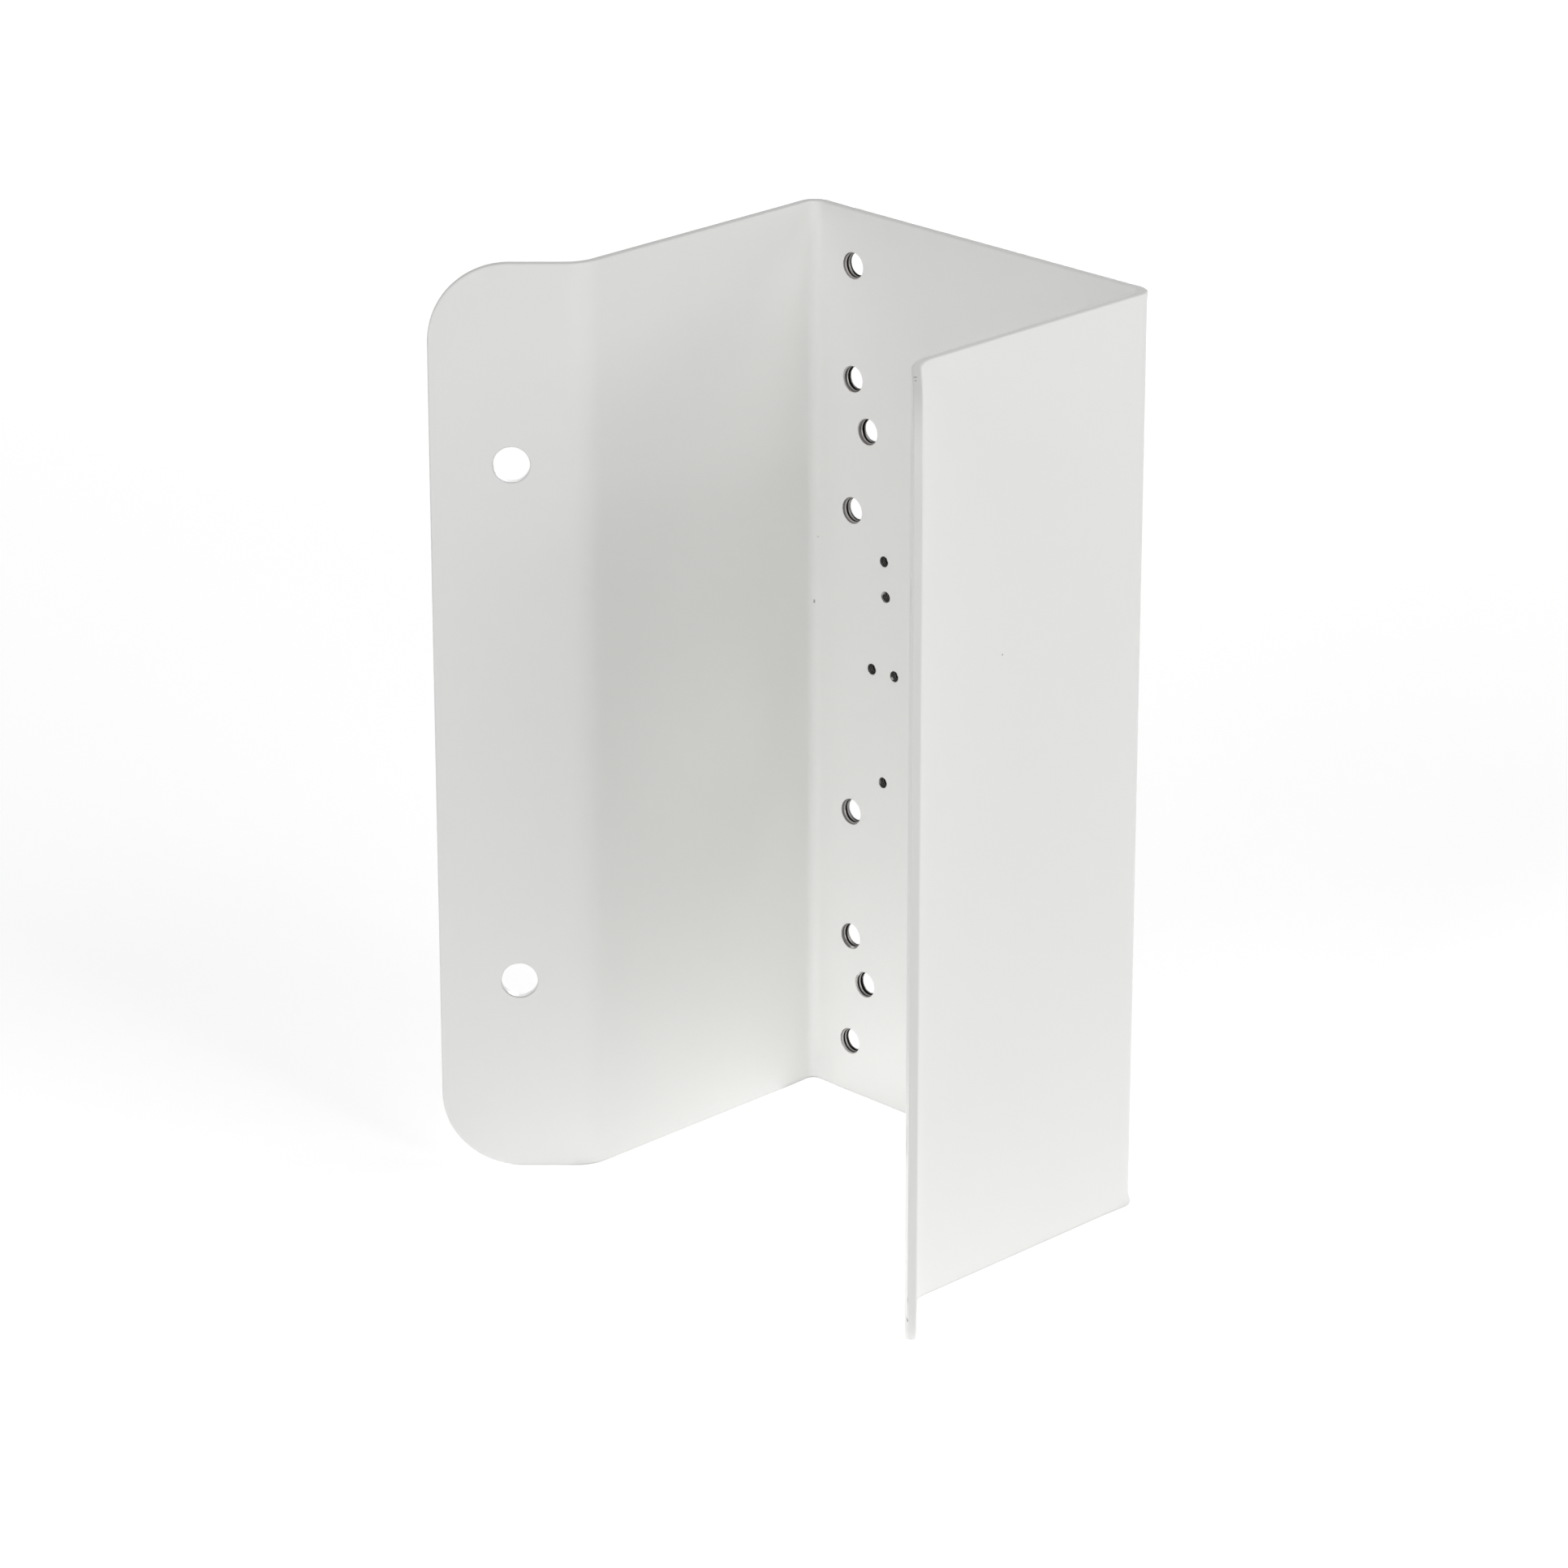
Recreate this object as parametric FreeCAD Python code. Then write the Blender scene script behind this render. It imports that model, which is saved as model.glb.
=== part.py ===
import FreeCAD, Part
import math
import os
from FreeCAD import Vector

# Camera corner bracket: one steel sheet, folded four times, for an outside corner of a building.
# Seen from above the sheet runs wall flange, web, plate, web, wall flange. The flanges stand at
# 45 degrees to the webs, so at 90 degrees to each other, and lie on the corner's two walls.
# +Z is up and +Y points out of the plate, away from the building. The part is symmetric about the
# YZ plane. The origin is at the middle of its bounding box, on the bottom edge. Lengths in mm.

# Sheet
height = 250.0
sheet_thickness = 2.5
cut_edge_bevel = 0.4

# Plan sizes, measured on the side of the sheet that faces the building
flange_width = 40.0
web_depth = 83.0
width_between_webs = 115.0
flange_fold_angle = 45.0
flange_fold_inner_radius = 10.0
plate_fold_inner_radius = 3.0

# Free corners of the flanges
flange_corner_radius = 21.0

# Screw holes through the flanges, into the walls
wall_hole_diameter = 9.5
wall_hole_from_edge = 21.0
wall_hole_spacing = 143.0

# Tapped holes in the plate. The drilled size is the crest of the thread.
large_tap_drill = 6.8
large_mouth_diameter = 7.9
small_tap_drill = 2.9

# Outermost rows of tapped holes, from the plate's top and bottom edges
end_rows_from_edge = 15.0

# Large patterns: hole spacing across the plate, hole spacing up it, height above its middle
large_patterns = (
    (87.0, height - 2 * end_rows_from_edge, 0.0),
    (87.0, 158.0, 0.0),
    (87.0, 85.5, 0.0),
    (76.0, 157.5, -13.0),
)

# Small patterns, in the same order. A single row of two holes has no spacing up the plate.
small_patterns = (
    (63.5, 62.5, 0.0),
    (62.0, 0.0, 21.5),
    (72.0, 0.0, 0.0),
    (55.5, 0.0, 0.0),
)

# Hole for the camera's cable, in the middle of the plate
cable_hole_diameter = 36.0

# How far a drill stands out of the surface that it cuts
cut_overrun = 1.0

# Two faces that turn by more than this at an edge, in degrees, meet in a cut edge of the sheet
cut_edge_turn = 60.0

# Lengths closer than this are the same
tiny_length = 1e-6

# Derived places
mid_height = height / 2
flange_direction = Vector(
    -math.sin(math.radians(flange_fold_angle)),
    -math.cos(math.radians(flange_fold_angle)),
    0,
)
flange_normal = Vector(flange_direction.y, -flange_direction.x, 0)
tip_bevel_loss = cut_edge_bevel * min(-flange_direction.y, flange_normal.y)
total_depth = (
    sheet_thickness + web_depth - flange_direction.y * flange_width - tip_bevel_loss
)
plate_outer_y = total_depth / 2
plate_inner_y = plate_outer_y - sheet_thickness


def plan_corners():
    """Corners of the wall-side outline, from the left flange's free edge to the right one's."""
    half = width_between_webs / 2
    plate_left = Vector(-half, plate_inner_y, 0)
    fold_left = plate_left - Vector(0, web_depth, 0)
    tip_left = fold_left + flange_direction * flange_width
    left = [tip_left, fold_left, plate_left]
    right = [Vector(-point.x, point.y, 0) for point in reversed(left)]
    return left + right


def offset_corners(corners, distance):
    """The corners moved to the sheet's other side, which lies to the left of the line of travel."""
    directions = [(end - start).normalize() for start, end in zip(corners, corners[1:])]
    normals = [Vector(-way.y, way.x, 0) for way in directions]
    moved = [corners[0] + normals[0] * distance]
    for corner, before, after in zip(corners[1:-1], normals, normals[1:]):
        bisector = (before + after).normalize()
        moved.append(corner + bisector * (distance / bisector.dot(after)))
    moved.append(corners[-1] + normals[-1] * distance)
    return moved


def bent_line(corners, radii):
    """Straight runs joined by tangent arcs, one radius for each inner corner."""
    edges = []
    start = corners[0]
    for before, corner, after, radius in zip(corners, corners[1:], corners[2:], radii):
        way_in = (corner - before).normalize()
        way_out = (after - corner).normalize()
        turn = way_in.getAngle(way_out)
        tangent = radius * math.tan(turn / 2)
        arc_start = corner - way_in * tangent
        arc_end = corner + way_out * tangent
        inward = (way_out - way_in).normalize()
        arc_middle = corner + inward * (radius / math.cos(turn / 2) - radius)
        edges.append(Part.makeLine(start, arc_start))
        edges.append(Part.Arc(arc_start, arc_middle, arc_end).toShape())
        start = arc_end
    edges.append(Part.makeLine(start, corners[-1]))
    return edges


def folded_sheet():
    """The sheet's section with its four bends, carried up to the full height."""
    wall_side = plan_corners()
    outer_side = offset_corners(wall_side, sheet_thickness)
    flange_fold_outer_radius = flange_fold_inner_radius + sheet_thickness
    plate_fold_outer_radius = plate_fold_inner_radius + sheet_thickness
    wall_side_radii = [
        flange_fold_outer_radius,
        plate_fold_inner_radius,
        plate_fold_inner_radius,
        flange_fold_outer_radius,
    ]
    outer_side_radii = [
        flange_fold_inner_radius,
        plate_fold_outer_radius,
        plate_fold_outer_radius,
        flange_fold_inner_radius,
    ]
    edges = bent_line(wall_side, wall_side_radii) + bent_line(outer_side, outer_side_radii)
    edges.append(Part.makeLine(wall_side[0], outer_side[0]))
    edges.append(Part.makeLine(wall_side[-1], outer_side[-1]))
    section = Part.Face(Part.Wire(Part.__sortEdges__(edges)))
    return section.extrude(Vector(0, 0, height))


def round_flange_corners(sheet):
    """Rounds the four free corners of the flanges, seen square to the flange."""
    corners = []
    tip = plan_corners()[0]
    for edge in sheet.Edges:
        middle = edge.CenterOfMass
        on_end = min(abs(middle.z), abs(middle.z - height)) < tiny_length
        across_sheet = abs(edge.Length - sheet_thickness) < tiny_length
        if on_end and across_sheet and abs(middle.x) > abs(tip.x) - sheet_thickness:
            corners.append(edge)
    return sheet.makeFillet(flange_corner_radius, corners)


def face_normal(face, point):
    """The face's outward normal at a point on it."""
    u, v = face.Surface.parameter(point)
    return face.normalAt(u, v)


def break_cut_edges(sheet):
    """Takes the sharpness off every cut edge of the sheet with a small bevel."""
    sharp = []
    for edge in sheet.Edges:
        first, second = sheet.ancestorsOfType(edge, Part.Face)
        middle = edge.valueAt((edge.FirstParameter + edge.LastParameter) / 2)
        turn = face_normal(first, middle).getAngle(face_normal(second, middle))
        if turn > math.radians(cut_edge_turn):
            sharp.append(edge)
    return sheet.makeChamfer(cut_edge_bevel, sharp)


def drill(center, way, diameter):
    """A drill through the sheet at the middle of its thickness. The way is square to the sheet."""
    reach = sheet_thickness / 2 + cut_overrun
    return Part.makeCylinder(diameter / 2, 2 * reach, center - way * reach, way)


def countersunk_drill(center, way, diameter, mouth):
    """A drill that also leaves a 45 degree bevel at both mouths of its hole."""
    tool = drill(center, way, diameter)
    bevel = (mouth - diameter) / 2
    for side in (-1, 1):
        deepest = center + way * (side * (sheet_thickness / 2 - bevel))
        widest = mouth / 2 + cut_overrun
        cone = Part.makeCone(diameter / 2, widest, bevel + cut_overrun, deepest, way * side)
        tool = tool.fuse(cone)
    return tool


def pattern_places(pattern):
    """The places of a pattern's holes on the plate, as pairs of X and Z."""
    across, up, lift = pattern
    heights = [mid_height + lift]
    if up:
        heights = [mid_height + lift - up / 2, mid_height + lift + up / 2]
    return [(side * across / 2, level) for side in (-1, 1) for level in heights]


def plate_tools():
    """The drills for the tapped holes and the cable hole, all square to the plate."""
    way = Vector(0, 1, 0)
    y = plate_inner_y + sheet_thickness / 2
    tools = [drill(Vector(0, y, mid_height), way, cable_hole_diameter)]
    for pattern in large_patterns:
        for x, z in pattern_places(pattern):
            center = Vector(x, y, z)
            tools.append(countersunk_drill(center, way, large_tap_drill, large_mouth_diameter))
    for pattern in small_patterns:
        for x, z in pattern_places(pattern):
            tools.append(drill(Vector(x, y, z), way, small_tap_drill))
    return tools


def wall_hole_tools():
    """The drills for the screw holes, square to each flange, in line with its free edge."""
    tip = plan_corners()[0]
    to_middle = flange_normal * (sheet_thickness / 2)
    place = tip - flange_direction * wall_hole_from_edge + to_middle
    tools = []
    for side in (1, -1):
        way = Vector(side * flange_normal.x, flange_normal.y, 0)
        for lift in (-wall_hole_spacing / 2, wall_hole_spacing / 2):
            center = Vector(side * place.x, place.y, mid_height + lift)
            tools.append(drill(center, way, wall_hole_diameter))
    return tools


def corner_bracket():
    """The whole bracket: fold the sheet, round its corners, then cut its holes."""
    sheet = break_cut_edges(round_flange_corners(folded_sheet()))
    return sheet.cut(plate_tools() + wall_hole_tools())


os.makedirs("parts", exist_ok=True)
bracket = corner_bracket()
bracket.exportStep("parts/corner_bracket.step")

box = bracket.optimalBoundingBox(True, False)
print("solids", len(bracket.Solids), "valid", bracket.isValid())
print("size", round(box.XLength, 3), round(box.YLength, 3), round(box.ZLength, 3))
print("middle", round(box.Center.x, 4), round(box.Center.y, 4), "bottom", round(box.ZMin, 4))
print("volume in cm3", round(bracket.Volume / 1000, 2))
print("plate's faces at Y", round(plate_inner_y, 4), round(plate_outer_y, 4))
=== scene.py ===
import math

import bpy
import numpy as np
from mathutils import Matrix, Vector, geometry


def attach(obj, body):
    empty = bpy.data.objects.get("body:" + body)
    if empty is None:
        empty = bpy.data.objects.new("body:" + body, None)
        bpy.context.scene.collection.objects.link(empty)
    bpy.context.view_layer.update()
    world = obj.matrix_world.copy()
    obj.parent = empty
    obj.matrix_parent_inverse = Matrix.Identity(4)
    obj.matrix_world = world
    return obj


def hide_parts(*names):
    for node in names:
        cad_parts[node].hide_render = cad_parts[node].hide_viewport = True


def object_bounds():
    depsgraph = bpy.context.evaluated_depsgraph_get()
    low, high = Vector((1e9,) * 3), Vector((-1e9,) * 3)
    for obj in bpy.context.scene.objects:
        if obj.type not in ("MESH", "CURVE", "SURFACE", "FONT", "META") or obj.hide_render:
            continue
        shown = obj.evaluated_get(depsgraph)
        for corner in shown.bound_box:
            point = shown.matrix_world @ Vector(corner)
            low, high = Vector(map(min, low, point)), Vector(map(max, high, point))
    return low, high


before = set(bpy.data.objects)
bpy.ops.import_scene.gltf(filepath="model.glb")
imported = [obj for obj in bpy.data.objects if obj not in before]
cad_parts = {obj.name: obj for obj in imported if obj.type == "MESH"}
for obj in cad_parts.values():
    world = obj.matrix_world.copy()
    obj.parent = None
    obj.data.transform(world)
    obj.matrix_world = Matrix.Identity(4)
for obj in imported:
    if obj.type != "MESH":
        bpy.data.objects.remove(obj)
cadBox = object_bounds()
mm = 0.001

# Folded sheet: the same sizes as the solid, and the steps of its mesh
sheet = {
    "thickness": 2.5 * mm,
    "flangeWidth": 40 * mm,  # these three on the side that faces the building
    "webDepth": 83 * mm,
    "webSpan": 115 * mm,
    "flangeTurn": math.radians(45),
    "plateTurn": math.radians(90),
    "flangeFoldInside": 10 * mm,
    "plateFoldInside": 3 * mm,
    "cornerRadius": 21 * mm,
    "edgeRound": 0.5 * mm,  # cut edges, under the coat
    "edgeSteps": 5,
    "cornerSteps": 26,
    "plateFoldSteps": 22,
    "flangeFoldSteps": 14,
    "cell": 8 * mm,
    "endLevels": [1.1 * mm, 1.8 * mm, 2.7 * mm, 4 * mm],  # extra rows near the top and bottom edges
    # how far points keep away: the outline's from its round corners, the grid's from the cut
    # edge and from the holes
    "cornerClear": 1 * mm,
    "edgeClear": 0.5 * mm,
    "holeClear": 0.9 * mm,
}

# Finishes of the sheet's faces, in the order of the mesh's materials
finishes = {"powderCoat": 0, "tappedHole": 1, "drilledHole": 2}


def foldPath(values):
    # Runs of constant curvature along the sheet's middle, left free edge to right free edge.
    # Flat runs have the same length on every layer; a bend's is its middle radius times its turn.
    half = values["thickness"] / 2
    turn = values["flangeTurn"]
    square = values["plateTurn"]
    flangeRadius = values["flangeFoldInside"] + half
    plateRadius = values["plateFoldInside"] + half
    flangeCut = (flangeRadius + half) * math.tan(turn / 2)
    plateCut = values["plateFoldInside"] * math.tan(square / 2)
    flange = (values["flangeWidth"] - flangeCut, 0, None)
    web = (values["webDepth"] - flangeCut - plateCut, 0, None)
    plate = (values["webSpan"] - 2 * plateCut, 0, None)
    flangeFold = (flangeRadius * turn, 1 / flangeRadius, values["flangeFoldSteps"])
    plateFold = (plateRadius * square, -1 / plateRadius, values["plateFoldSteps"])
    runs = [flange, flangeFold, web, plateFold, plate, plateFold, web, flangeFold, flange]
    length = np.array([run[0] for run in runs])
    curve = np.array([run[1] for run in runs])
    start = np.concatenate([[0], np.cumsum(length)])
    heading = square - turn + np.concatenate([[0], np.cumsum(length * curve)])[:-1]
    chord = length * np.sinc(length * curve / 2 / math.pi)
    middleHeading = heading + length * curve / 2
    x = np.concatenate([[0], np.cumsum(chord * np.cos(middleHeading))])[:-1]
    y = np.concatenate([[0], np.cumsum(chord * np.sin(middleHeading))])[:-1]
    # moved so that the plate's outer face is the solid's
    x -= (x[4] + x[5]) / 2
    y += cadBox[1].y - half - y[4]
    stations = [np.zeros(1)]
    for (runLength, _, steps), runStart in zip(runs, start):
        steps = steps or math.ceil(runLength / values["cell"])
        stations.append(runStart + runLength * np.arange(1, steps + 1) / steps)
    folds = [(start[3] + start[4]) / 2, (start[5] + start[6]) / 2]
    return {
        "length": start[-1],
        "start": start[:-1],
        "curve": curve,
        "heading": heading,
        "x": x,
        "y": y,
        "stations": np.concatenate(stations),
        "plateFolds": folds,
        "height": cadBox[1].z - cadBox[0].z,
        "bottom": cadBox[0].z,
        "thickness": values["thickness"],
    }


# The folding press pushes the ends of the two sharp folds out a little
foldEnds = {
    "atTop": 0.22 * mm,
    "atBottom": 0.6 * mm,
    "reachUp": 1.8 * mm,
    "reachAcross": 5.5 * mm,
}


def endFlare(path, along, up):
    # bell across the fold times bell up from the end, for both folds and both ends
    lift = np.zeros(np.broadcast(along, up).shape)
    for fold in path["plateFolds"]:
        across = np.clip(1 - ((along - fold) / foldEnds["reachAcross"]) ** 2, 0, 1) ** 2
        for size, fromEnd in (
            (foldEnds["atBottom"], up),
            (foldEnds["atTop"], path["height"] - up),
        ):
            lift = lift + size * across * np.exp(-((fromEnd / foldEnds["reachUp"]) ** 2))
    return lift


def placeOnSheet(path, along, up, lift):
    # A point of the flat sheet goes to its run's start, plus a chord of length u sinc(k u / 2)
    # at the mean heading, plus the lift along the left normal. The lift is out of the building.
    along, up, lift = np.broadcast_arrays(along, up, lift)
    lift = lift + endFlare(path, along, up)
    run = np.clip(np.searchsorted(path["start"], along, side="right") - 1, 0, None)
    u = along - path["start"][run]
    curve = path["curve"][run]
    chord = u * np.sinc(curve * u / 2 / math.pi)
    mean = path["heading"][run] + curve * u / 2
    heading = path["heading"][run] + curve * u
    x = path["x"][run] + chord * np.cos(mean) - lift * np.sin(heading)
    y = path["y"][run] + chord * np.sin(mean) + lift * np.cos(heading)
    return np.stack([x, y, path["bottom"] + up], axis=-1)


def unit(vectors):
    # the tiny length keeps a vector of no length from a division by zero
    return vectors / np.maximum(np.linalg.norm(vectors, axis=-1, keepdims=True), 1e-20)


def skinNormals(path, along, up, lift):
    # cross product of the sheet's two tangents, from small steps both ways
    step = 0.01 * mm
    ahead = placeOnSheet(path, along + step, up, lift) - placeOnSheet(path, along - step, up, lift)
    above = placeOnSheet(path, along, up + step, lift) - placeOnSheet(path, along, up - step, lift)
    return unit(np.cross(above, ahead))


def gridNormals(points):
    # cross product of the differences along the loop and across it, for faces turned outwards
    ahead = np.roll(points, -1, axis=1) - np.roll(points, 1, axis=1)
    across = np.gradient(points, axis=0)
    return unit(np.cross(ahead, across))


def outlineLoop(values, path, inset):
    # flat outline, anticlockwise: a rectangle with four round corners, moved in by inset
    radius = values["cornerRadius"]
    right = path["length"] - radius
    top = path["height"] - radius
    clear = values["cornerClear"]
    inner = path["stations"]
    inner = inner[(inner > radius + clear) & (inner < right - clear)]
    count = math.ceil((top - radius) / values["cell"])
    levels = np.linspace(radius, top, count + 1)[1:-1]
    quarter = np.linspace(0, math.pi / 2, values["cornerSteps"] + 1)
    alongs = [inner]
    ups = [np.full(len(inner), inset)]
    corners = [(right, radius, 3), (right, top, 0), (radius, top, 1), (radius, radius, 2)]
    sides = [
        (np.full(len(levels), path["length"] - inset), levels),
        (inner[::-1], np.full(len(inner), path["height"] - inset)),
        (np.full(len(levels), inset), levels[::-1]),
        (np.zeros(0), np.zeros(0)),
    ]
    for (centreAlong, centreUp, quadrant), (sideAlong, sideUp) in zip(corners, sides):
        angle = quarter + quadrant * math.pi / 2
        alongs += [centreAlong + (radius - inset) * np.cos(angle), sideAlong]
        ups += [centreUp + (radius - inset) * np.sin(angle), sideUp]
    return np.concatenate(alongs), np.concatenate(ups)


def edgeProfile(thickness, radius, steps):
    # inset and lift across a cut edge: a quarter round, the cut, a quarter round
    angle = np.linspace(0, math.pi / 2, steps + 1)
    inset = radius * (1 - np.sin(angle))
    lift = thickness / 2 - radius * (1 - np.cos(angle))
    return np.concatenate([inset, inset[::-1]]), np.concatenate([lift, -lift[::-1]])


def outlineEdge(values, path):
    # the sheet's cut edge, each row the outline moved in as far as the profile says
    inset, lift = edgeProfile(values["thickness"], values["edgeRound"], values["edgeSteps"])
    rows = [outlineLoop(values, path, moved) for moved in inset]
    along = np.stack([row[0] for row in rows])
    # painted shade across the cut edge: none at the skins, full over the cut
    fromSkin = np.clip((values["thickness"] / 2 - np.abs(lift)) / values["edgeRound"], 0, 1)
    return {
        "along": along,
        "up": np.stack([row[1] for row in rows]),
        "lift": np.broadcast_to(lift[:, None], along.shape),
        "threadDepthAndShade": np.zeros(along.shape),
        "pastCoat": np.zeros(along.shape),
        "paintedEdgeShade": np.broadcast_to(fromSkin[:, None] ** 2, along.shape),
        "kinds": np.full(len(rows) - 1, finishes["powderCoat"]),
    }


plainHoles = {
    "wallDiameter": 9.5 * mm,
    "wallFromEdge": 21 * mm,
    "wallSpacing": 143 * mm,
    "cableDiameter": 36 * mm,
    "lip": 0.4 * mm,
    "lipShade": 2.6,  # painted shade on the lips, where 1 is that of the sheet's cut edges
    "steps": 72,
}


def plainHoleRim(path, centre, diameter, values):
    # each row is a circle as wide as the profile says, clockwise so that the metal is on its left
    inset, lift = edgeProfile(path["thickness"], values["lip"], sheet["edgeSteps"])
    angle = -2 * math.pi * np.arange(values["steps"]) / values["steps"]
    radius = (diameter / 2 + inset)[:, None]
    along = centre[0] + radius * np.cos(angle)
    # painted shade, growing from the skins towards the hole's wall
    shade = values["lipShade"] * (1 - inset / values["lip"]) ** 2
    isWall = np.diff(lift) < -values["lip"]
    return {
        "centre": centre,
        "radius": diameter / 2 + values["lip"],
        "along": along,
        "up": centre[1] + radius * np.sin(angle),
        "lift": np.broadcast_to(lift[:, None], along.shape),
        "threadDepthAndShade": np.zeros(along.shape),
        "pastCoat": np.zeros(along.shape),
        "paintedEdgeShade": np.broadcast_to(shade[:, None], along.shape),
        "kinds": np.where(isWall, finishes["drilledHole"], finishes["powderCoat"]),
    }


# Tapped holes. Patterns are spacing across, spacing up and height above the plate's middle, in mm.
largeHoles = {
    "patterns": [(87, 220, 0), (87, 158, 0), (87, 85.5, 0), (76, 157.5, -13)],
    "crest": 3.3 * mm,
    "root": 3.9 * mm,
    "pitch": 1.25 * mm,
    "mouth": 3.6 * mm,  # at the wall side, where it narrows to the crest as deep as the coat goes
    "coated": (0.75 * mm, 1.35 * mm),  # least and most depth that the coat reaches
    "openUnderCoat": 0.15,  # share of the thread's height that the coat leaves
    "crestShade": 0,  # painted shade: how far towards the root's colour the crest is
    "lip": 0.1 * mm,
    "beadRadius": 3.0 * mm,  # low bead that the tap and the coat leave at the outer side
    "beadHeight": 0.2 * mm,
    "beadWidth": 0.5 * mm,
    "ring": 4.1 * mm,  # flat ring round both mouths, wider than the root
    "steps": 64,
    "rows": 34,
}
smallHoles = {
    "patterns": [(63.5, 62.5, 0), (62, 0, 21.5), (72, 0, 0), (55.5, 0, 0)],
    "crest": 1.42 * mm,
    "root": 1.72 * mm,
    "pitch": 0.6 * mm,
    "mouth": 1.6 * mm,
    "coated": (0.12 * mm, 0.4 * mm),
    "openUnderCoat": 0.3,
    # painted shade: the small holes' crests are darkened towards the root's colour
    "crestShade": 0.16,
    "lip": 0.08 * mm,
    "beadRadius": 1.15 * mm,
    "beadHeight": 0.14 * mm,
    "beadWidth": 0.35 * mm,
    "ring": 1.9 * mm,
    "steps": 40,
    "rows": 34,
}
tapping = {
    "flankAngle": math.radians(30),
    "rootFlat": 1 / 16,  # half of it, as a share of the pitch
    "beadOut": [0, 1, 0.75, 0.4, 0.1, 0],  # the ring's row, then shares of the bead's width
    "beadLift": [0, 0, 0.7, 1, 0.7, 0],  # and of its height
    "seed": 8,  # for how deep the coat goes and where the thread starts
}


def tappedHoleRim(path, centre, values, start, coated):
    # The thread goes from crest to root by a trapezoid in its phase, lift / pitch + angle / turn.
    # From the wall side to the coat's end it is mostly filled, and the hole narrows to the crest.
    # The first rows go over the bead at the outer side, from the flat ring inwards.
    half = path["thickness"] / 2
    threadHeight = values["root"] - values["crest"]
    angle = -2 * math.pi * np.arange(values["steps"]) / values["steps"]
    beadOut = np.array(tapping["beadOut"]) * values["beadWidth"] + values["beadRadius"]
    beadLift = np.array(tapping["beadLift"]) * values["beadHeight"] + half
    drop = values["crest"] - values["beadRadius"]
    lift = np.linspace(half - drop, -half, values["rows"])
    lift = np.concatenate([beadLift, lift, [-half]])[:, None]
    phase = lift / values["pitch"] + angle / (2 * math.pi) + start
    fromRoot = np.abs(phase % 1 - 0.5)
    flank = threadHeight * math.tan(tapping["flankAngle"]) / values["pitch"]
    depth = np.clip((tapping["rootFlat"] + flank - fromRoot) / flank, 0, 1)
    fromWall = half + lift
    unfilled = np.clip((fromWall - coated) / values["lip"], values["openUnderCoat"], 1)
    narrowing = (values["mouth"] - values["crest"]) * np.clip(1 - fromWall / coated, 0, 1)
    rounding = values["lip"] * np.clip(1 - fromWall / values["lip"], 0, 1) ** 2
    radius = values["crest"] + threadHeight * unfilled * depth + narrowing + rounding
    radius[: len(beadOut)] = beadOut[:, None]
    radius[[0, -1]] = values["ring"]
    kinds = np.full(len(lift) - 1, finishes["tappedHole"])
    kinds[: len(beadOut) - 2] = finishes["powderCoat"]
    kinds[-1] = finishes["powderCoat"]
    return {
        "centre": centre,
        "radius": values["ring"],
        "along": centre[0] + radius * np.cos(angle),
        "up": centre[1] + radius * np.sin(angle),
        "lift": np.broadcast_to(lift, radius.shape),
        # the thread's depth, raised to the crest's painted shade
        "threadDepthAndShade": np.maximum(depth, values["crestShade"]),
        "pastCoat": np.broadcast_to(np.minimum(fromWall - coated, half - lift), radius.shape),
        "paintedEdgeShade": np.zeros(radius.shape),
        "kinds": kinds,
    }


def patternCentres(path, patterns):
    middle = path["length"] / 2
    mid = path["height"] / 2
    centres = []
    for across, upwards, raised in patterns:
        for side in (-1, 1):
            for end in ((-1, 1) if upwards else (0,)):
                along = middle + side * across * mm / 2
                centres.append((along, mid + raised * mm + end * upwards * mm / 2))
    return centres


def holeRims(path):
    mid = path["height"] / 2
    middle = path["length"] / 2
    rims = [plainHoleRim(path, (middle, mid), plainHoles["cableDiameter"], plainHoles)]
    fromEdge = plainHoles["wallFromEdge"]
    for along in (fromEdge, path["length"] - fromEdge):
        for end in (-1, 1):
            centre = (along, mid + end * plainHoles["wallSpacing"] / 2)
            rims.append(plainHoleRim(path, centre, plainHoles["wallDiameter"], plainHoles))
    chance = np.random.default_rng(tapping["seed"])
    for values in (largeHoles, smallHoles):
        for centre in patternCentres(path, values["patterns"]):
            coated = chance.uniform(*values["coated"])
            rims.append(tappedHoleRim(path, centre, values, chance.random(), coated))
    return rims


def gridPoints(values, path, rims):
    # a grid of the flat sheet's stations and levels that keeps clear of the outline and the holes
    rows = np.linspace(0, path["height"], math.ceil(path["height"] / values["cell"]) + 1)
    ends = np.array(values["endLevels"])
    levels = np.unique(np.concatenate([rows[1:-1], ends, path["height"] - ends]))
    along, up = (grid.ravel() for grid in np.meshgrid(path["stations"], levels))
    # distance to the outline, as to a rectangle with round corners
    radius = values["cornerRadius"]
    outAlong = np.abs(along - path["length"] / 2) - path["length"] / 2 + radius
    outUp = np.abs(up - path["height"] / 2) - path["height"] / 2 + radius
    outside = np.hypot(np.maximum(outAlong, 0), np.maximum(outUp, 0)) - radius
    outside = np.where((outAlong > 0) & (outUp > 0), outside, np.maximum(outAlong, outUp) - radius)
    keep = outside < -values["edgeRound"] - values["edgeClear"]
    for rim in rims:
        fromCentre = np.hypot(along - rim["centre"][0], up - rim["centre"][1])
        keep &= fromCentre > rim["radius"] + values["holeClear"]
    return along[keep], up[keep]


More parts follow.
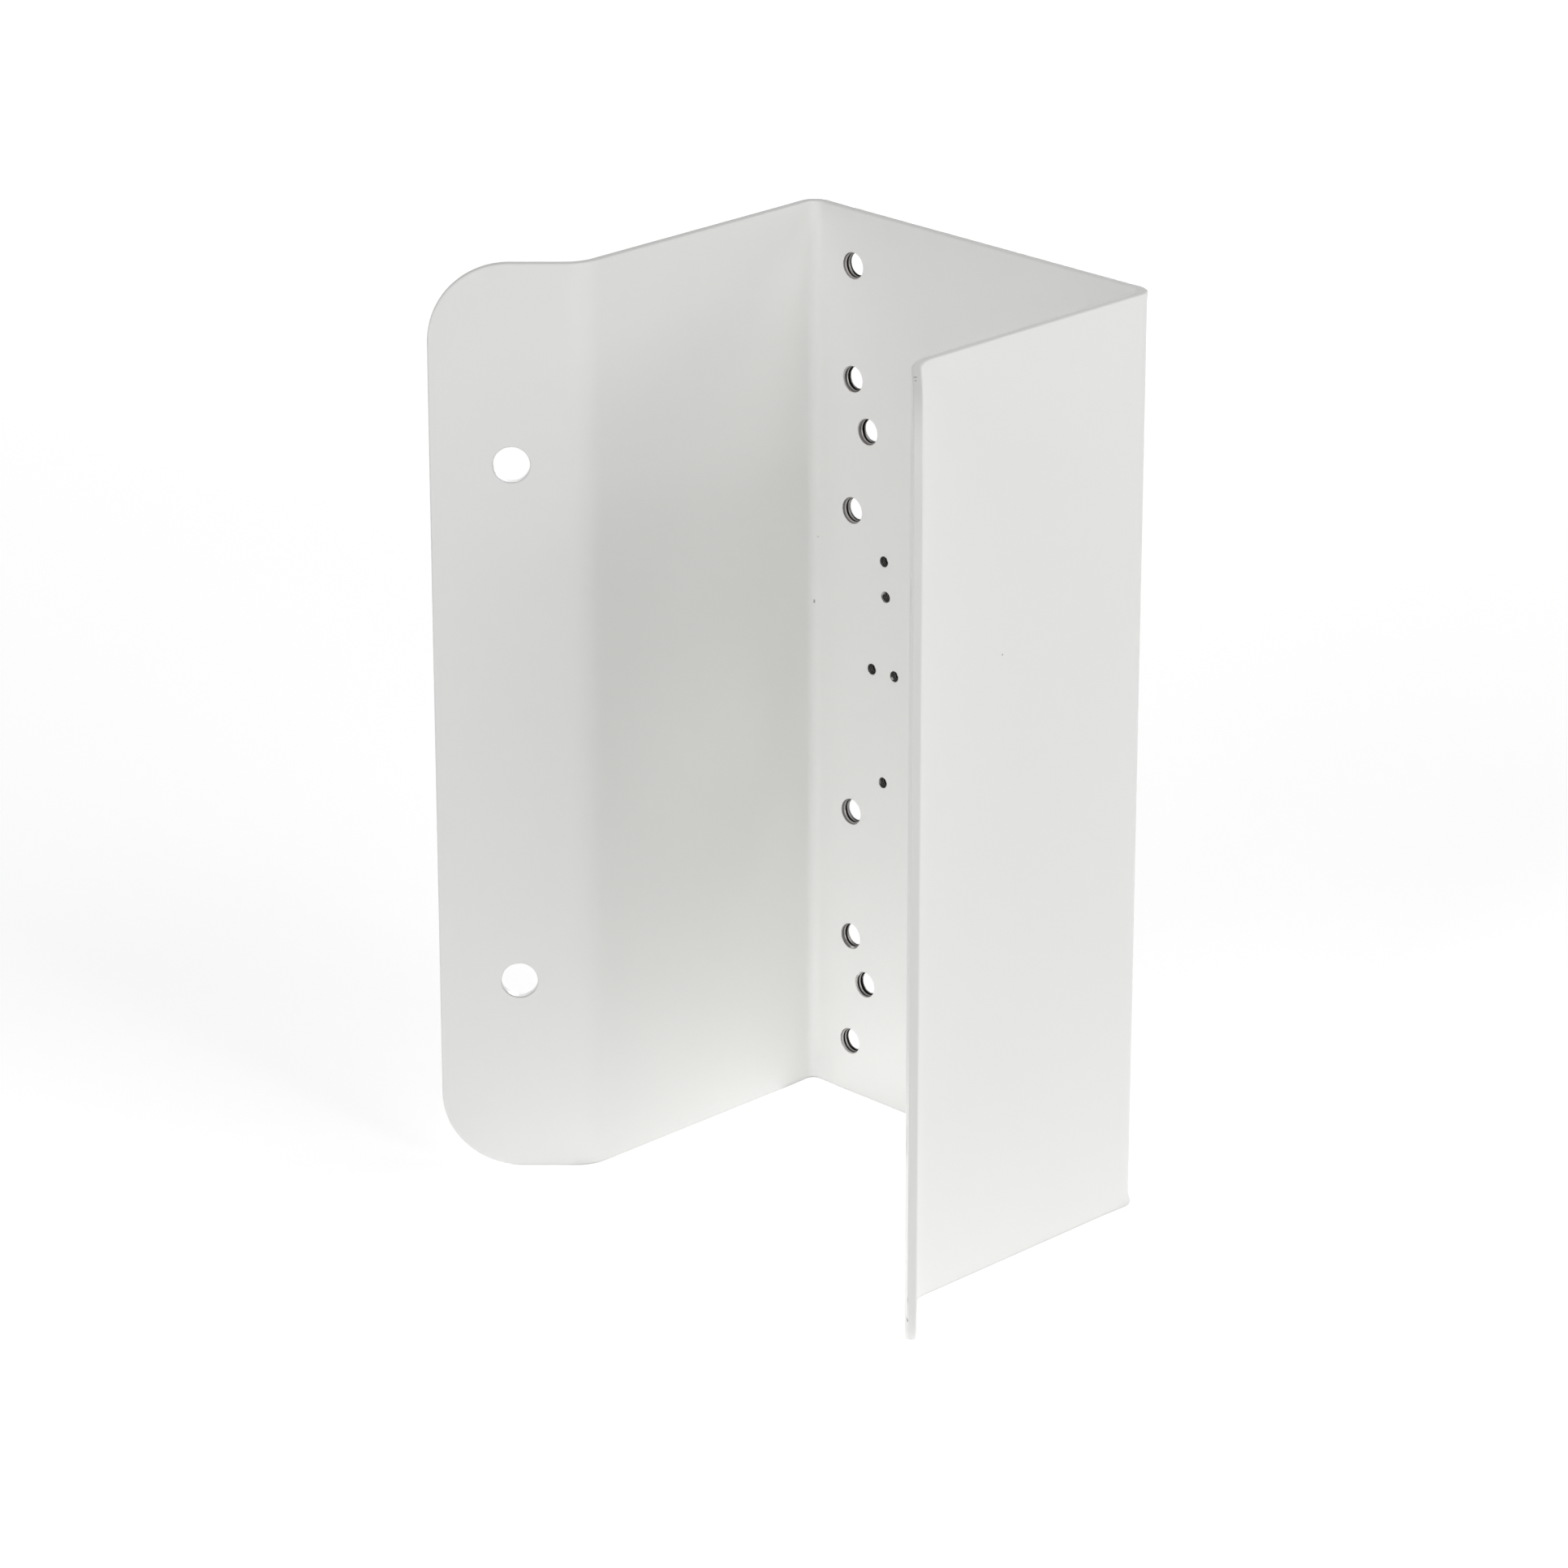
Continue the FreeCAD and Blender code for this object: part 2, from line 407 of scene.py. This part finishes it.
def flatSkin(values, path, loops, rims):
    # The flat sheet's triangles. Its points are the loops, then the grid.
    gridAlong, gridUp = gridPoints(values, path, rims)
    along = np.concatenate([loop[0] for loop in loops] + [gridAlong])
    up = np.concatenate([loop[1] for loop in loops] + [gridUp])
    edges = []
    first = 0
    for loop in loops:
        index = first + np.arange(len(loop[0]))
        edges += np.stack([index, np.roll(index, -1)], axis=1).tolist()
        first += len(index)
    flat = [Vector(point) for point in (np.stack([along, up], axis=1) / mm).tolist()]
    made = geometry.delaunay_2d_cdt(flat, edges, [], 0, 1e-5)  # joins points this close, in mm
    if len(made[0]) != len(flat):
        raise ValueError("the flat sheet's points changed when they were joined")
    triangles = np.array(made[2])
    centreAlong = along[triangles].mean(axis=1)
    centreUp = up[triangles].mean(axis=1)
    solid = np.ones(len(triangles), bool)
    for rim in rims:
        fromCentre = np.hypot(centreAlong - rim["centre"][0], centreUp - rim["centre"][1])
        apothem = rim["radius"] * math.cos(math.pi / rim["along"].shape[1])
        solid &= fromCentre > apothem * (1 - 1e-6)  # a hair less, for a triangle on the rim
    return along, up, triangles[solid]


def foldedSheetMesh(values):
    # Both skins are the flat triangles folded at half the thickness. Each loop gets a strip of
    # quads from the outer skin over the cut edge to the wall side.
    path = foldPath(values)
    half = values["thickness"] / 2
    rims = holeRims(path)
    edges = [outlineEdge(values, path)] + rims
    loops = [(edge["along"][0], edge["up"][0]) for edge in edges]
    along, up, triangles = flatSkin(values, path, loops, rims)
    points = [placeOnSheet(path, along, up, half), placeOnSheet(path, along, up, -half)]
    normals = [skinNormals(path, along, up, half), -skinNormals(path, along, up, -half)]
    total = 2 * len(along)
    details = {name: [np.zeros(total)] for name in ("threadDepthAndShade", "pastCoat", "paintedEdgeShade")}
    faces = [triangles[:, ::-1].tolist(), (triangles + len(along)).tolist()]
    kinds = [np.full(2 * len(triangles), finishes["powderCoat"])]
    first = 0
    for edge in edges:
        rowCount, columns = edge["along"].shape
        grid = placeOnSheet(path, edge["along"], edge["up"], edge["lift"])
        skinIndex = first + np.arange(columns)
        inner = total + np.arange((rowCount - 2) * columns).reshape(rowCount - 2, columns)
        index = np.vstack([skinIndex, inner, skinIndex + len(along)])
        points.append(grid[1:-1].reshape(-1, 3))
        normals.append(gridNormals(grid)[1:-1].reshape(-1, 3))
        for name, parts in details.items():
            parts.append(edge[name][1:-1].ravel())
        after = np.roll(index, -1, axis=1)
        quads = np.stack([index[:-1], after[:-1], after[1:], index[1:]], axis=-1).reshape(-1, 4)
        faces.append(quads.tolist())
        kinds.append(np.repeat(edge["kinds"], columns))
        total += inner.size
        first += columns
    mesh = bpy.data.meshes.new("bracketSheet")
    mesh.from_pydata(np.concatenate(points).tolist(), [], sum(faces, []))
    mesh.polygons.foreach_set("material_index", np.concatenate(kinds).astype(np.int32))
    mesh.polygons.foreach_set("use_smooth", np.ones(len(mesh.polygons), bool))
    for name, parts in details.items():
        made = mesh.attributes.new(name, "FLOAT", "POINT")
        made.data.foreach_set("value", np.concatenate(parts).astype(np.float32))
    mesh.normals_split_custom_set_from_vertices(np.concatenate(normals).tolist())
    mesh.update()
    return mesh


def addNode(tree, kind, inputs=None, **settings):
    made = tree.nodes.new(kind)
    for name, value in settings.items():
        setattr(made, name, value)
    for name, value in (inputs or {}).items():
        if isinstance(value, bpy.types.NodeSocket):
            tree.links.new(value, made.inputs[name])
        else:
            made.inputs[name].default_value = value
    return made


def calculate(tree, operation, first, second=0.0, third=0.0, clamp=False):
    inputs = {0: first, 1: second, 2: third}
    made = addNode(tree, "ShaderNodeMath", inputs, operation=operation, use_clamp=clamp)
    return made.outputs[0]


def vectorMath(tree, operation, first, second=(0, 0, 0)):
    return addNode(tree, "ShaderNodeVectorMath", {0: first, 1: second}, operation=operation)


def mixColours(tree, factor, first, second):
    # sockets 6 and 7 are the node's two colours
    inputs = {"Factor": factor, 6: first, 7: second}
    return addNode(tree, "ShaderNodeMix", inputs, data_type="RGBA").outputs[2]


def mixValues(tree, factor, first, second):
    # sockets 2 and 3 are the node's two numbers
    return addNode(tree, "ShaderNodeMix", {"Factor": factor, 2: first, 3: second}).outputs[0]


def noise(tree, where, scale, detail=2.0):
    # from 0 to 1, with 0.5 in the middle
    inputs = {"Vector": where, "Scale": scale, "Detail": detail, "Roughness": 0.5}
    return addNode(tree, "ShaderNodeTexNoise", inputs).outputs[0]


def objectPlace(tree):
    return addNode(tree, "ShaderNodeTexCoord").outputs["Object"]


def surfaceDetail(tree, name):
    return addNode(tree, "ShaderNodeAttribute", attribute_name=name).outputs["Fac"]


def newMaterial(name):
    material = bpy.data.materials.new(name)
    material.use_nodes = True
    material.node_tree.nodes.clear()
    return material, material.node_tree


def ellipsoidMask(tree, where, values):
    # full over the inner half, then fading to the surface
    place = [value * mm for value in values["place"]]
    size = [value * mm for value in values["size"]]
    away = vectorMath(tree, "SUBTRACT", where, place).outputs[0]
    away = vectorMath(tree, "DIVIDE", away, size).outputs[0]
    reach = vectorMath(tree, "LENGTH", away).outputs["Value"]
    return calculate(tree, "MULTIPLY_ADD", reach, -2, 2, clamp=True)


coat = {
    "colour": (0.87, 0.87, 0.856, 1),
    "roughness": 0.5,
    "roughnessSpread": 0.06,
    "tint": 0.012,  # broad change of lightness
    "tintScale": 14,
    "peelScale": 620,  # waves of the melted powder, in each metre
    "peelDetail": 1.5,
    "peelHeight": 0.6,
    "grainScale": 2600,
    "grainHeight": 0.25,
    "bump": 0.16,
    "bumpDepth": 0.08 * mm,
    "specular": 0.42,
    "shadeOnCutFaces": 0.9,  # painted shade: colour made darker on the sheet's cut edges
}
# Marks in the coat: place and half sizes in millimetres, and how dark
marks = [
    {"place": (-56.6, 53.4, 139.2), "size": (0.3, 0.3, 0.7), "dark": 0.6},
    {"place": (-55.8, 54.0, 157.5), "size": (0.4, 0.4, 0.35), "dark": 0.22},
    {"place": (60.0, 2.2, 167.3), "size": (0.32, 0.32, 0.32), "dark": 0.5},
    {"place": (67.4, -37.5, 250), "size": (0.6, 0.6, 0.3), "dark": 0.6},
    {"place": (69.3, -39.4, 250), "size": (0.5, 0.5, 0.3), "dark": 0.5},
    {"place": (84.3, -55.6, 12.1), "size": (0.4, 0.4, 1.8), "dark": 0.85},
    {"place": (85.6, -56.9, 18), "size": (0.3, 0.3, 2.5), "dark": 0.6},
    {"place": (80.1, -49.6, 3.6), "size": (0.7, 0.7, 0.3), "dark": 0.6},
]
markColour = (0.03, 0.028, 0.026, 1)


def coatLook():
    # powder coat: broad tint, orange peel, fine grain, marks and painted shade on the cut edges,
    # for the sheet and for the tapped holes
    group = bpy.data.node_groups.new("coatLook", "ShaderNodeTree")
    for name, kind in (("Colour", "NodeSocketColor"), ("Roughness", "NodeSocketFloat")):
        group.interface.new_socket(name, in_out="INPUT", socket_type=kind)
        group.interface.new_socket(name, in_out="OUTPUT", socket_type=kind)
    group.interface.new_socket("Height", in_out="OUTPUT", socket_type="NodeSocketFloat")
    given = addNode(group, "NodeGroupInput").outputs
    where = objectPlace(group)
    broad = noise(group, where, coat["tintScale"])
    peel = noise(group, where, coat["peelScale"], coat["peelDetail"])
    grain = noise(group, where, coat["grainScale"])
    lightness = calculate(group, "MULTIPLY_ADD", broad, coat["tint"] * 2, 1 - coat["tint"])
    # painted shade: colour darkened on the cut edges and on the holes' lips
    cut = surfaceDetail(group, "paintedEdgeShade")
    cut = calculate(group, "MULTIPLY_ADD", cut, coat["shadeOnCutFaces"] - 1, 1)
    lightness = calculate(group, "MULTIPLY", lightness, cut)
    tinted = vectorMath(group, "SCALE", given["Colour"])
    group.links.new(lightness, tinted.inputs["Scale"])
    colour = tinted.outputs[0]
    for mark in marks:
        mask = calculate(group, "MULTIPLY", ellipsoidMask(group, where, mark), mark["dark"])
        colour = mixColours(group, mask, colour, markColour)
    spread = calculate(group, "SUBTRACT", grain, 0.5)
    rough = calculate(group, "MULTIPLY_ADD", spread, coat["roughnessSpread"], given["Roughness"])
    height = calculate(group, "MULTIPLY", peel, coat["peelHeight"])
    height = calculate(group, "MULTIPLY_ADD", grain, coat["grainHeight"], height)
    inputs = {"Colour": colour, "Roughness": rough, "Height": height}
    addNode(group, "NodeGroupOutput", inputs)
    return group


def placeCoat(tree, group):
    inputs = {"Colour": coat["colour"], "Roughness": coat["roughness"]}
    return addNode(tree, "ShaderNodeGroup", inputs, node_tree=group).outputs


def finishMaterial(tree, inputs):
    shader = addNode(tree, "ShaderNodeBsdfPrincipled", inputs)
    addNode(tree, "ShaderNodeOutputMaterial", {"Surface": shader.outputs[0]})


def powderCoatMaterial(group):
    material, tree = newMaterial("powderCoat")
    look = placeCoat(tree, group)
    inputs = {"Height": look["Height"], "Strength": coat["bump"], "Distance": coat["bumpDepth"]}
    bump = addNode(tree, "ShaderNodeBump", inputs)
    inputs = {
        "Base Color": look["Colour"],
        "Roughness": look["Roughness"],
        "Specular IOR Level": coat["specular"],
        "Normal": bump.outputs[0],
    }
    finishMaterial(tree, inputs)
    return material


thread = {
    "crest": (0.3, 0.29, 0.285, 1),
    # root colour: partly dark bare steel, partly painted shade in the roots
    "root": (0.01, 0.009, 0.008, 1),
    "darkFrom": 3.0,  # how soon the flanks are as dark as the root, partly dark bare steel and partly painted shade
    "thinCoat": (0.6, 0.575, 0.56, 1),
    # painted shade: the thin coat is darker towards the thread's roots
    "thinCoatRoot": (0.2, 0.185, 0.18, 1),
    "crestRoughness": 0.32,
    "rootRoughness": 0.6,
    "thinFrom": 0.12 * mm,  # depth from the wall side at which the coat thins
    "ragged": 0.12 * mm,
    "raggedScale": 1300,
    "fade": 0.08 * mm,
}
# Coat that ran into tapped holes: place and half sizes in millimetres
patches = [
    {"place": (-32.2, 54.9, 147.1), "size": (0.7, 0.7, 0.8)},
    {"place": (-28.8, 54.9, 124.1), "size": (0.6, 0.6, 0.6)},
    {"place": (-33.2, 54.5, 93.7), "size": (0.5, 0.6, 1.2)},
    {"place": (-43.2, 54.9, 42.7), "size": (1.0, 0.8, 0.5)},
    {"place": (-40.5, 54.9, 35.5), "size": (0.9, 0.8, 0.9)},
]


def tappedHoleMaterial(group, plateMiddle):
    # thin coat in the mouth, then bare steel that is dark at the thread's roots, partly painted
    # shade
    material, tree = newMaterial("tappedHole")
    look = placeCoat(tree, group)
    where = objectPlace(tree)
    y = addNode(tree, "ShaderNodeSeparateXYZ", {0: where}).outputs[1]
    lift = calculate(tree, "SUBTRACT", y, plateMiddle)
    fromWall = calculate(tree, "ADD", lift, sheet["thickness"] / 2)
    torn = calculate(tree, "SUBTRACT", noise(tree, where, thread["raggedScale"]), 0.5)
    patched = 0.0
    for patch in patches:
        patched = calculate(tree, "MAXIMUM", ellipsoidMask(tree, where, patch), patched)
    clear = calculate(tree, "SUBTRACT", 1, patched)
    masks = []
    for inside, start in ((fromWall, thread["thinFrom"]), (surfaceDetail(tree, "pastCoat"), 0.0)):
        inside = calculate(tree, "MULTIPLY_ADD", torn, thread["ragged"] * 2, inside)
        inside = calculate(tree, "SUBTRACT", inside, start)
        mask = calculate(tree, "DIVIDE", inside, thread["fade"], clamp=True)
        masks.append(calculate(tree, "MULTIPLY", mask, clear))
    thin, bare = masks
    # the thread's depth, which with painted shade darkens the roots and the small holes' crests
    depth = surfaceDetail(tree, "threadDepthAndShade")
    depth = calculate(tree, "MULTIPLY", depth, thread["darkFrom"], clamp=True)
    steel = mixColours(tree, depth, thread["crest"], thread["root"])
    steelRough = mixValues(tree, depth, thread["crestRoughness"], thread["rootRoughness"])
    thinCoat = mixColours(tree, depth, thread["thinCoat"], thread["thinCoatRoot"])
    mouth = mixColours(tree, thin, look["Colour"], thinCoat)
    inputs = {
        "Base Color": mixColours(tree, bare, mouth, steel),
        "Roughness": mixValues(tree, bare, look["Roughness"], steelRough),
        "Metallic": bare,
    }
    finishMaterial(tree, inputs)
    return material


drilled = {
    "dark": (0.5, 0.5, 0.5, 1),
    "bright": (0.74, 0.74, 0.74, 1),
    "roughness": (0.22, 0.34),
    "scoreScale": 900,  # uneven marks of the drill, in each metre
    "scoreDetail": 3.0,
}


def drilledHoleMaterial():
    # bright cut steel, unevenly scored by the drill
    material, tree = newMaterial("drilledHole")
    scored = noise(tree, objectPlace(tree), drilled["scoreScale"], drilled["scoreDetail"])
    inputs = {
        "Base Color": mixColours(tree, scored, drilled["dark"], drilled["bright"]),
        "Roughness": mixValues(tree, scored, *drilled["roughness"]),
        "Metallic": 1.0,
    }
    finishMaterial(tree, inputs)
    return material


def addBracket():
    mesh = foldedSheetMesh(sheet)
    group = coatLook()
    plateMiddle = cadBox[1].y - sheet["thickness"] / 2
    mesh.materials.append(powderCoatMaterial(group))
    mesh.materials.append(tappedHoleMaterial(group, plateMiddle))
    mesh.materials.append(drilledHoleMaterial())
    piece = bpy.data.objects.new("bracketSheet", mesh)
    bpy.context.scene.collection.objects.link(piece)
    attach(piece, "root")
    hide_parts("corner_bracket")
    mesh.calc_loop_triangles()
    print("bracket: folded sheet with", len(mesh.loop_triangles), "triangles")


studio = {
    "floorSize": 12.0,
    "floorColour": (0.86, 0.86, 0.86, 1),
    # added to the lit floor where it is seen, so that it is nearly white and keeps the shadow:
    # up to boostFrom metres from the middle, and one metre further on
    "floorBoost": (0.54, 0.62),
    "boostFrom": 0.3,
    "skyLight": 0.18,
    "skyColour": (1, 1, 1, 1),
}


def seenDirectly(tree):
    # 1 where the camera sees this straight, in a reflection or through glass, 0 where it lights
    rays = addNode(tree, "ShaderNodeLightPath").outputs
    seen = calculate(tree, "MAXIMUM", rays["Is Camera Ray"], rays["Is Glossy Ray"])
    return calculate(tree, "MAXIMUM", seen, rays["Is Transmission Ray"])


def floorMaterial():
    material, tree = newMaterial("paleFloor")
    diffuse = addNode(tree, "ShaderNodeBsdfDiffuse", {"Color": studio["floorColour"]})
    away = vectorMath(tree, "LENGTH", objectPlace(tree)).outputs["Value"]
    away = calculate(tree, "SUBTRACT", away, studio["boostFrom"], clamp=True)
    boost = mixValues(tree, away, *studio["floorBoost"])
    strength = calculate(tree, "MULTIPLY", seenDirectly(tree), boost)
    glow = addNode(tree, "ShaderNodeEmission", {"Color": (1, 1, 1, 1), "Strength": strength})
    both = addNode(tree, "ShaderNodeAddShader", {0: diffuse.outputs[0], 1: glow.outputs[0]})
    addNode(tree, "ShaderNodeOutputMaterial", {"Surface": both.outputs[0]})
    return material


def addFloor():
    side = studio["floorSize"] / 2
    corners = np.array([(-1, -1, 0), (1, -1, 0), (1, 1, 0), (-1, 1, 0)]) * side
    mesh = bpy.data.meshes.new("floor")
    mesh.from_pydata(corners.tolist(), [], [(0, 1, 2, 3)])
    mesh.materials.append(floorMaterial())
    floor = bpy.data.objects.new("floor", mesh)
    bpy.context.scene.collection.objects.link(floor)


def addSky():
    # even light from all round; where the sky itself is seen, it is white
    world = bpy.data.worlds.new("studioSky")
    world.use_nodes = True
    tree = world.node_tree
    tree.nodes.clear()
    strength = mixValues(tree, seenDirectly(tree), studio["skyLight"], 1.0)
    inputs = {"Color": studio["skyColour"], "Strength": strength}
    sky = addNode(tree, "ShaderNodeBackground", inputs)
    addNode(tree, "ShaderNodeOutputWorld", {"Surface": sky.outputs[0]})
    bpy.context.scene.world = world


# Square soft lamps. They aim at the bracket's middle unless they say otherwise.
lamps = {
    "right": {"place": (0.7, 0, 0.5), "size": 0.3, "watts": 0.85},
    "rightBack": {"place": (1.2, 1.0, 0.45), "size": 1.0, "watts": 4.84},
    "rightHigh": {"place": (0.9, 0.1, 1.0), "size": 0.6, "watts": 3.01},
    "leftHigh": {"place": (-0.9, -0.3, 0.8), "size": 0.6, "watts": 0.78},
    "front": {"place": (0.1, -1.1, 0.8), "size": 0.6, "watts": 4.19},
    "frontLow": {"place": (0.2, -1.0, 0.12), "size": 0.5, "watts": 0.73},
    "behind": {"place": (-1.2, 1.3, 0.6), "size": 1.4, "watts": 1.5},
    "behindLow": {"place": (-1.0, 1.2, 0.16), "size": 0.3, "watts": 7.0},
    # glow of the lit table, round the bracket, between its webs and at the left flange
    "tableWide": {"place": (0, 0, 0.00002), "size": 0.6, "watts": 0.27},
    "tableNear": {"place": (0, 0, 0.00003), "size": 0.3, "watts": 0.047},
    "tableInside": {
        "place": (0, -0.015, 0.00004),
        "aim": (0, -0.015, 1),
        "size": 0.1155,
        "watts": 0.0155,
    },
    "tableFoot": {
        "place": (-0.072, -0.049, 0.00005),
        "aim": (-0.072, -0.049, 1),
        "size": 0.032,
        "watts": 0.0006,
    },
}


def addLamps():
    middle = (0, 0, (cadBox[0].z + cadBox[1].z) / 2)
    for name, values in lamps.items():
        light = bpy.data.lights.new(name, "AREA")
        light.shape = "SQUARE"
        light.size = values["size"]
        light.energy = values["watts"]
        lamp = bpy.data.objects.new(name, light)
        lamp.location = values["place"]
        away = Vector(values["place"]) - Vector(values.get("aim", middle))
        lamp.rotation_euler = away.to_track_quat("Z", "Y").to_euler()
        lamp.visible_camera = False
        bpy.context.scene.collection.objects.link(lamp)


# The photograph's viewing angle: turned about Z from looking along Y, and tilted down
view = {
    "place": (1.0874, -1.10047, 0.71687),
    "pan": math.radians(45.039),
    "tilt": math.radians(21.194),
    "lens": 148.154,
    "sensor": 36.0,
    "nearest": 0.05,
    "farthest": 60,
}


def addCamera():
    data = bpy.data.cameras.new("camera")
    data.lens = view["lens"]
    data.sensor_width = view["sensor"]
    data.clip_start = view["nearest"]
    data.clip_end = view["farthest"]
    camera = bpy.data.objects.new("camera", data)
    camera.location = view["place"]
    camera.rotation_euler = (math.pi / 2 - view["tilt"], 0, view["pan"])
    bpy.context.scene.collection.objects.link(camera)
    bpy.context.scene.camera = camera


addBracket()
addFloor()
addSky()
addLamps()
addCamera()
print("studio: floor, sky,", len(lamps), "lamps and camera")
bpy.context.scene.view_settings.view_transform = "Standard"
